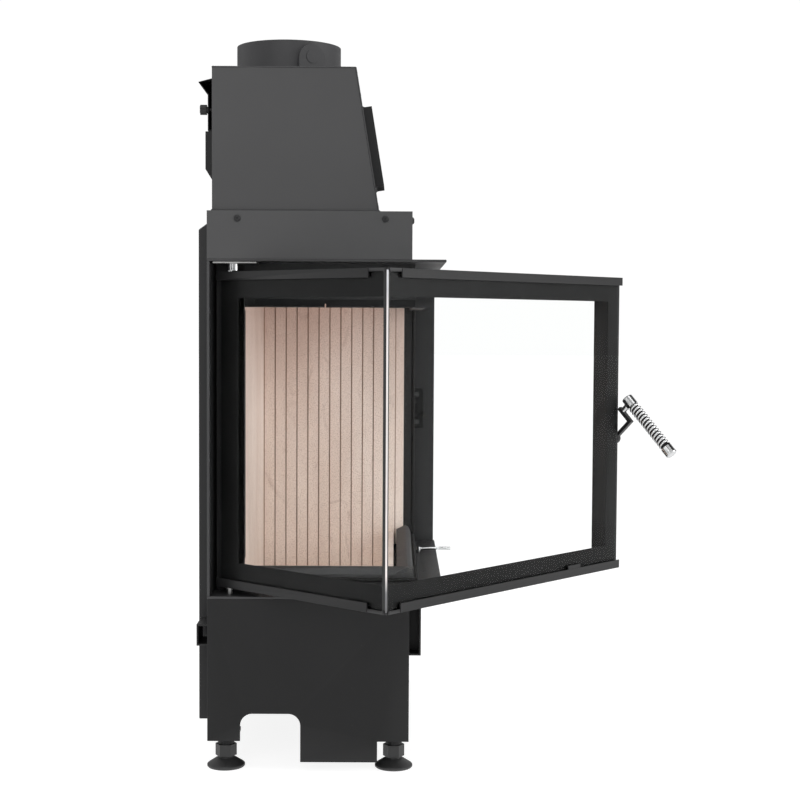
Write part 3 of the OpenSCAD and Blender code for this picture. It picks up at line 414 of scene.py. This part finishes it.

# ---------------------------------------------------------------------------------- fireclay
# Grooved bricks of pressed fireclay line the back and the far side. They are pale pink-buff
# with fine grog specks and darker towards the top; painted shade darkens the grooves brown.


def fireclay_brick(name, low_tone, high_tone, kerf_from=None, kerf_pitch=0.021):
    """Buff clay: paler low down, browner up; a 2 mm kerf every pitch along x carries painted shade where one
    starts.
    """
    material, tree, shader = new_material(name, 0.92, specular=0.15)
    height = tree.nodes.new("ShaderNodeSeparateXYZ")
    tree.links.new(own_place(tree).outputs["Vector"], height.inputs["Vector"])
    rise = tree.nodes.new("ShaderNodeMapRange")
    rise.inputs["From Min"].default_value = 0.36
    rise.inputs["From Max"].default_value = 0.74
    tree.links.new(height.outputs["Z"], rise.inputs["Value"])
    middle = tuple(0.6 * a + 0.4 * b for a, b in zip(low_tone, high_tone))
    tone = ramp_of(tree, rise.outputs["Result"], [(0, low_tone), (0.55, middle), (1, high_tone)])
    _, speck = noise_ramp(tree, 480, 6, [(0.35, (0.80, 0.76, 0.73, 1)), (0.5, (1, 1, 1, 1)),
                                         (0.72, (1.08, 1.06, 1.04, 1))])
    colour = blend_colours(tree, "MULTIPLY", 1.0, tone.outputs["Color"], speck.outputs["Color"])
    _, cloud = noise_ramp(tree, 11, 5, [(0.3, (0.88, 0.84, 0.82, 1)), (0.65, (1, 1, 1, 1))], (1, 1, 0.35))
    colour = blend_colours(tree, "MULTIPLY", 1.0, colour, cloud.outputs["Color"])
    _, soot = noise_ramp(tree, 26, 6, [(0.60, (0, 0, 0, 1)), (0.85, (0.5, 0.5, 0.5, 1))], (1, 1, 0.5), 1.5)
    colour = blend_colours(tree, "MIX", soot.outputs["Color"], colour, (0.33, 0.21, 0.16, 1))
    # Painted shade: each groove is darkened brown where its recess lies in shade.
    if kerf_from is not None:
        turns = tree.nodes.new("ShaderNodeMapRange")
        turns.clamp = False
        turns.inputs["From Min"].default_value = kerf_from
        turns.inputs["From Max"].default_value = kerf_from + kerf_pitch
        tree.links.new(height.outputs["X"], turns.inputs["Value"])
        part = tree.nodes.new("ShaderNodeMath")
        part.operation = "FRACT"
        tree.links.new(turns.outputs["Result"], part.inputs[0])
        clean = (0, 0, 0, 1)
        groove_shade = ramp_of(tree, part.outputs["Value"],
                        [(0, (0.62, 0.62, 0.62, 1)), (0.075, (0.9, 0.9, 0.9, 1)), (0.105, clean),
                         (0.975, clean), (1, (0.5, 0.5, 0.5, 1))])
        colour = blend_colours(tree, "MIX", groove_shade.outputs["Color"], colour, (0.26, 0.14, 0.085, 1))
    tree.links.new(colour, shader.inputs["Base Color"])
    pores, _ = noise_ramp(tree, 900, 6, [(0, grey(0)), (1, grey(1))])
    add_bump(tree, shader, pores.outputs["Fac"], 0.5, 0.0006)
    return material


# The clay is paler low down and darker towards the top.
pale_clay = (0.99, 0.89, 0.82, 1)
darker_top_clay = (0.74, 0.6, 0.54, 1)
first_kerf = corner.x + 0.061
coat(fireclay_brick("grooved_fireclay", pale_clay, darker_top_clay, first_kerf), "far_bricks")
coat(fireclay_brick("plain_fireclay", pale_clay, darker_top_clay), "back_bricks", "low_bricks", "floor_brick",
     "baffle_brick")

# ---------------------------------------------------------------------------------- door glass
# Two panes of clear ceramic glass meet at the corner, with a polished bevel and black silicone
# between them. A black enamel band is printed round the clear part, on the inside face.


def ceramic_pane():
    material, tree, shader = new_material("ceramic_glass", 0.015)
    shader.inputs["Base Color"].default_value = (0.97, 0.98, 0.975, 1)
    shader.inputs["Transmission Weight"].default_value = 1.0
    shader.inputs["IOR"].default_value = 1.06
    return material


coat(ceramic_pane(), "short_glass", "long_glass")

hinge_low, hinge_high = ends_of("bottom_hinge_pin")
hinge = (hinge_low + hinge_high) / 2
door_angle = math.radians(41.67)
door_x, door_y, door_end = 0.3747, 0.0134, 0.6111
door_z, door_top = 0.2895, 0.7853
glass_low, glass_high = door_z + 0.002, door_top - 0.002
clear_low, clear_high = 0.3305, 0.7445


def on_door(x, y, z):
    """Points on the closed door, in metres from the casing's near back corner, turned about the hinge."""
    dx, dy = x + corner.x - hinge[0], y + corner.y - hinge[1]
    return (hinge[0] + dx * math.cos(door_angle) + dy * math.sin(door_angle),
            hinge[1] - dx * math.sin(door_angle) + dy * math.cos(door_angle), z + 0 * x)


def plate_mesh(name, outer, inner, depth0, depth1, on_long_leaf):
    """A flat frame: two rectangles (u0, u1, v0, v1) joined round, its front and back a hair apart.

    u runs along the leaf and v up. The ring of eight corners is repeated at two depths.
    """
    def ring(r):
        return [(r[0], r[2]), (r[1], r[2]), (r[1], r[3]), (r[0], r[3])]
    flat = np.array(ring(outer) + ring(inner))
    u = np.concatenate([flat[:, 0], flat[:, 0]])
    v = np.concatenate([flat[:, 1], flat[:, 1]])
    d = np.repeat([depth0, depth1], 8)
    x, y, z = on_door(door_x - d, u, v) if on_long_leaf else on_door(u, door_y + d, v)
    faces = []
    for k in range(4):
        m = (k + 1) % 4
        faces += [(k, m, 4 + m, 4 + k), (8 + k, 12 + k, 12 + m, 8 + m), (k, 8 + k, 8 + m, m),
                  (4 + k, 4 + m, 12 + m, 12 + k)]
    mesh = bpy.data.meshes.new(name)
    mesh.from_pydata(np.stack([x, y, z], -1).tolist(), [], faces)
    mesh.update()
    piece = bpy.data.objects.new(name, mesh)
    bpy.context.scene.collection.objects.link(piece)
    return piece


def black_enamel():
    material, tree, shader = new_material("black_enamel", 0.4, specular=0.15)
    _, cloud = noise_ramp(tree, 14, 4, [(0.3, grey(0.0045)), (0.7, grey(0.0075))])
    tree.links.new(cloud.outputs["Color"], shader.inputs["Base Color"])
    grain, _ = noise_ramp(tree, 2200, 3, [(0, grey(0)), (1, grey(1))])
    add_bump(tree, shader, grain.outputs["Fac"], 0.15, 0.0001)
    return material


enamel = black_enamel()
pane_back = 0.0064
print_depths = pane_back - 0.0003, pane_back - 0.0001
print_heights = glass_low + 0.0005, glass_high - 0.0005
short_band = plate_mesh("short_enamel_band", (0.0188, door_x - 0.0103, *print_heights),
                        (0.059, door_x - 0.0108, clear_low, clear_high), *print_depths, False)
long_band = plate_mesh("long_enamel_band", (door_y + 0.0066, door_end - 0.0062, *print_heights),
                       (door_y + 0.0072, door_y + 0.5625, clear_low, clear_high), *print_depths, True)
for band in (short_band, long_band):
    band.data.materials.append(enamel)
    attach(band, "door")

# ---------------------------------------------------------------------------------- polished corner
# The short pane's outer corner is ground to a bevel and polished; the light it carries up and
# down the whole corner is a painted highlight on a slim bar. The silicone joint shows as a dark line on each
# side of it.


# Painted highlight and reflection: the bar is dark in the printed band, pinkish where the bricks show through
# the glass, and grey at the top.
def corner_glint_paint():
    material, tree, shader = new_material("corner_glint_paint", 0.2)
    height = tree.nodes.new("ShaderNodeSeparateXYZ")
    tree.links.new(own_place(tree).outputs["Vector"], height.inputs["Vector"])
    rise = tree.nodes.new("ShaderNodeMapRange")
    rise.inputs["From Min"].default_value = glass_low
    rise.inputs["From Max"].default_value = glass_high
    tree.links.new(height.outputs["Z"], rise.inputs["Value"])
    span = glass_high - glass_low
    low, high = (clear_low - glass_low) / span, (clear_high - glass_low) / span
    tone = ramp_of(tree, rise.outputs["Result"],
                   [(0, grey(0.12)), (low - 0.02, grey(0.2)), (low + 0.03, (0.85, 0.78, 0.74, 1)),
                    (high - 0.03, (0.85, 0.8, 0.78, 1)), (high + 0.02, grey(0.6)), (1, grey(0.7))])
    _, streak = noise_ramp(tree, 60, 3, [(0.35, grey(0.86)), (0.65, grey(1.0))], (1, 1, 0.2))
    colour = blend_colours(tree, "MULTIPLY", 1.0, tone.outputs["Color"], streak.outputs["Color"])
    tree.links.new(colour, shader.inputs["Base Color"])
    return material


def glint_bar_surface(cx, cy, radius, steps=60):
    """A slim half-round bar standing in the corner for the painted highlight: x = cx + r cos a, y = cy + r
    sin a, all the way up.
    """
    angle = np.linspace(0, 2 * np.pi, 16, endpoint=False)
    heights = np.linspace(glass_low + 0.001, glass_high - 0.001, steps)
    a, z = np.meshgrid(angle, heights, indexing="ij")
    return on_door(cx + radius * np.cos(a), cy + radius * np.sin(a), z)


# A bright bar in the corner carries the painted highlight.
bar_inset, bar_r = 0.0042, 0.0016
glint_bar_place = glint_bar_surface(door_x - bar_inset, door_y + bar_inset, bar_r)
corner_glint_bar = grid_mesh("corner_glint", *glint_bar_place, close_u=True)
corner_glint_bar.data.materials.append(corner_glint_paint())
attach(corner_glint_bar, "door")


def silicone():
    material, tree, shader = new_material("black_silicone", 0.42)
    _, cloud = noise_ramp(tree, 90, 4, [(0.3, grey(0.006)), (0.7, grey(0.010))])
    tree.links.new(cloud.outputs["Color"], shader.inputs["Base Color"])
    ripple, _ = noise_ramp(tree, 300, 3, [(0, grey(0)), (1, grey(1))], (1, 1, 0.3))
    add_bump(tree, shader, ripple.outputs["Fac"], 0.3, 0.0003)
    return material


coat(silicone(), "corner_seal")

# ---------------------------------------------------------------------------------- door rails
# The rails and stiles are bent from sheet, spot welded and powder coated a semi-gloss black. The
# two stiles lie in the shade of the print and are a little darker.

door_coat = stove_paint("door_coat", 0.011, 0.42, 0.3)
stile_coat = stove_paint("stile_coat", 0.005, 0.5, 0.25)
coat(door_coat, "short_top_rail", "short_bottom_rail", "long_top_rail", "long_bottom_rail", "corner_clips",
     "handle_lever")
coat(stile_coat, "hinge_stile", "latch_stile")
for name in ("short_top_rail", "short_bottom_rail", "long_top_rail", "long_bottom_rail", "handle_lever"):
    round_edges(name, 0.0006)

# ---------------------------------------------------------------------------------- rope seal
# Braided glass rope, dark grey, is glued round the opening's frame; the leaves close on it.
# Eight yarns each way cross on its surface.


def rope_surface():
    low, high = ends_of("rope_seal")
    r = 0.0036
    seal_r = 0.00385
    xa, ya = low[0] + seal_r, low[1] + seal_r
    xb, yb = high[0] - seal_r, high[1] - seal_r
    za, zb = low[2] + seal_r, high[2] - seal_r
    corners = [(xa, ya, za), (xa, ya, zb), (xb, ya, zb), (xb, yb, zb), (xb, yb, za), (xb, ya, za)]
    path, spots = even_path(corners, 0.0011, True)
    path = smooth_path(path, 14, True)
    sides = 32
    angle = np.linspace(0, 2 * np.pi, sides, endpoint=False)[None, :]
    turn_length = 0.019
    one_way = np.abs(np.sin(4 * (angle + 2 * np.pi * spots[:, None] / turn_length)))
    other_way = np.abs(np.sin(4 * (angle - 2 * np.pi * spots[:, None] / turn_length)))
    radius = r * (0.93 + 0.07 * np.maximum(one_way, other_way))
    return tube_grid(path, radius, sides, True, (0.57, 0.62, 0.54))


def rope_yarn():
    material, tree, shader = new_material("glass_rope", 0.85, specular=0.3)
    _, fibre = noise_ramp(tree, 900, 4, [(0.3, (0.006, 0.006, 0.006, 1)), (0.7, (0.018, 0.0175, 0.017, 1))])
    tree.links.new(fibre.outputs["Color"], shader.inputs["Base Color"])
    fuzz, _ = noise_ramp(tree, 2600, 3, [(0, grey(0)), (1, grey(1))])
    add_bump(tree, shader, fuzz.outputs["Fac"], 0.6, 0.0004)
    return material


rope = grid_mesh("braided_rope", *rope_surface(), close_u=True, close_v=True)
rope.data.materials.append(rope_yarn())
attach(rope, "casing")
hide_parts("rope_seal")

# ---------------------------------------------------------------------------------- bright metal
# The handle's grip, the air lever and the upper hinge eccentric are chromed; the pins and the
# latch's shaft are zinc plated and duller, and so is the plate the upper hinge hangs from.


def turned_metal(name, tone, rough, fine=600, depth=0.00006):
    material, tree, shader = new_material(name, rough, 1.0)
    _, cloud = noise_ramp(tree, 70, 4, [(0.3, tuple(0.86 * c for c in tone) + (1,)), (0.7, tone + (1,))])
    tree.links.new(cloud.outputs["Color"], shader.inputs["Base Color"])
    _, smear = noise_ramp(tree, 45, 5, [(0.35, grey(max(rough - 0.04, 0.03))), (0.7, grey(rough + 0.10))])
    tree.links.new(smear.outputs["Color"], shader.inputs["Roughness"])
    lines, _ = noise_ramp(tree, fine, 3, [(0, grey(0)), (1, grey(1))])
    add_bump(tree, shader, lines.outputs["Fac"], 0.3, depth)
    return material


chrome = turned_metal("bright_chrome", (0.62, 0.625, 0.63), 0.11)
zinc = turned_metal("zinc_plate", (0.34, 0.34, 0.335), 0.36)
bronze = turned_metal("bearing_bronze", (0.55, 0.40, 0.20), 0.34)
coat(chrome, "grip_core", "air_lever", "top_hinge_pin")
oiled = turned_metal("oiled_steel", (0.055, 0.053, 0.05), 0.42)
coat(zinc, "bottom_hinge_pin", "latch_shaft", "hinge_plate")
coat(oiled, "roller_pin", "latch_roller")
coat(bronze, "latch_bush")

# ---------------------------------------------------------------------------------- coil grip
# Fourteen turns of chromed wire wound on the grip keep it cool to hold. The wire is one helix,
# its ends tucked under the caps, and a dark tube inside it paints the shade between the turns.

shaft_x, shaft_z = 0.3597, 0.5109
lift = math.radians(44.7)
grip_x, grip_y = shaft_x + 0.0653, door_end + 0.0008 + 0.0042
grip_top, grip_length, grip_r = shaft_z + 0.0333, 0.1288, 0.01025
coil_low, coil_high = grip_top - grip_length + 0.016, grip_top - 0.019


def on_handle(x, y, z):
    """Points given on the closed handle, turned about its shaft by the lift and then with the door."""
    dx, dz = x - shaft_x, z - shaft_z
    return on_door(shaft_x + dx * math.cos(lift) - dz * math.sin(lift), y,
                   shaft_z + dx * math.sin(lift) + dz * math.cos(lift))


def coil_surface(turns, wire):
    """A wire round a helix of the given turns: the helix is (R cos t, R sin t, pitch t / 2 pi)."""
    count = int(turns * 40)
    t = np.linspace(0, 2 * np.pi * turns, count)
    mean = grip_r - wire - 0.00005
    path = np.stack([grip_x + mean * np.cos(t), grip_y + mean * np.sin(t),
                     np.linspace(coil_low + wire, coil_high - wire, count)], -1)
    return on_handle(*tube_grid(path, wire, 12))


coil = grid_mesh("wire_coil", *coil_surface(14, 0.0022), close_v=True)
coil.data.materials.append(chrome)
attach(coil, "handle")
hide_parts("grip_coil")

# Painted shade: a dark tube inside the coil darkens the gaps between the turns, where the chrome core lies in
# shade.
grip_shade = stove_paint("grip_shade", 0.004, 0.5, 0.2, lit_edges=False)
shade_tube_r, shade_tube_steps = 0.0073, 24
shade_tube_path = np.stack([np.full(shade_tube_steps, grip_x), np.full(shade_tube_steps, grip_y),
                        np.linspace(coil_low + 0.0002, coil_high - 0.0002, shade_tube_steps)], -1)
shade_tube = grid_mesh("grip_gap_shade", *on_handle(*tube_grid(shade_tube_path, shade_tube_r, 48, facing=(1, 0, 0))),
                   close_v=True)
shade_tube.data.materials.append(grip_shade)
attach(shade_tube, "handle")

# ---------------------------------------------------------------------------------- air lever end
# The last two centimetres of the air lever are knurled for the fingers: two sets of fine ridges
# cross at sixty degrees.


def knurl_surface(x_from, x_to, y, z, r):
    """A cylinder along x whose radius is r + h max(|sin(n a + k s)|, |sin(n a - k s)|)."""
    s = np.linspace(0, 1, 90)
    a = np.linspace(0, 2 * np.pi, 72, endpoint=False)
    s, a = np.meshgrid(s, a, indexing="ij")
    ridge = np.maximum(np.abs(np.sin(9 * a + 30 * s)), np.abs(np.sin(9 * a - 30 * s)))
    fade = np.clip(np.minimum(s, 1 - s) * 14, 0, 1)
    radius = (r + 0.00018 * (ridge - 0.5) * fade) * np.sqrt(np.clip(np.minimum(s, 1 - s) * 40, 0, 1))
    radius = np.where((s == 0) | (s == 1), 0.0001, radius)
    return x_from + (x_to - x_from) * s, y + radius * np.cos(a), z + radius * np.sin(a)


knurl_length = 0.0215
casing_length, lever_share = 0.640, 0.735
door_gap, lever_half = 0.0006, 0.0025
lever_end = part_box("air_lever")[1].x
lever_y = corner.y + casing_length * lever_share
lever_z = door_z - door_gap - lever_half
knurl_r = 0.00297
knurl_place = knurl_surface(lever_end - knurl_length, lever_end, lever_y, lever_z, knurl_r)
knurl = grid_mesh("knurled_end", *knurl_place, close_v=True)
knurl.data.materials.append(chrome)
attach(knurl, "air_control")

# ---------------------------------------------------------------------------------- feet and knobs
# The feet are moulded round a threaded stud, in black glass-filled nylon. The cover knobs are
# the same plastic, with a matt spark-eroded face.


def moulded_black(name, level, rough):
    material, tree, shader = new_material(name, rough)
    _, cloud = noise_ramp(tree, 30, 5, [(0.3, grey(level * 0.85)), (0.7, grey(level * 1.15))])
    # Painted highlight: the moulding is lighter on its sharp edges.
    lit_edge = edge_highlight_mask(tree, 0.53, 0.62)
    colour = blend_colours(tree, "MIX", lit_edge, cloud.outputs["Color"], grey(level * 2.4))
    tree.links.new(colour, shader.inputs["Base Color"])
    grain, _ = noise_ramp(tree, 1300, 4, [(0, grey(0)), (1, grey(1))])
    add_bump(tree, shader, grain.outputs["Fac"], 0.4, 0.0003)
    return material


nylon = moulded_black("black_nylon", 0.018, 0.5)
coat(nylon, "foot_near_back", "foot_near_front", "foot_far_back", "foot_far_front")
coat(moulded_black("knob_plastic", 0.006, 0.6), "near_cover_knob", "far_cover_knob")
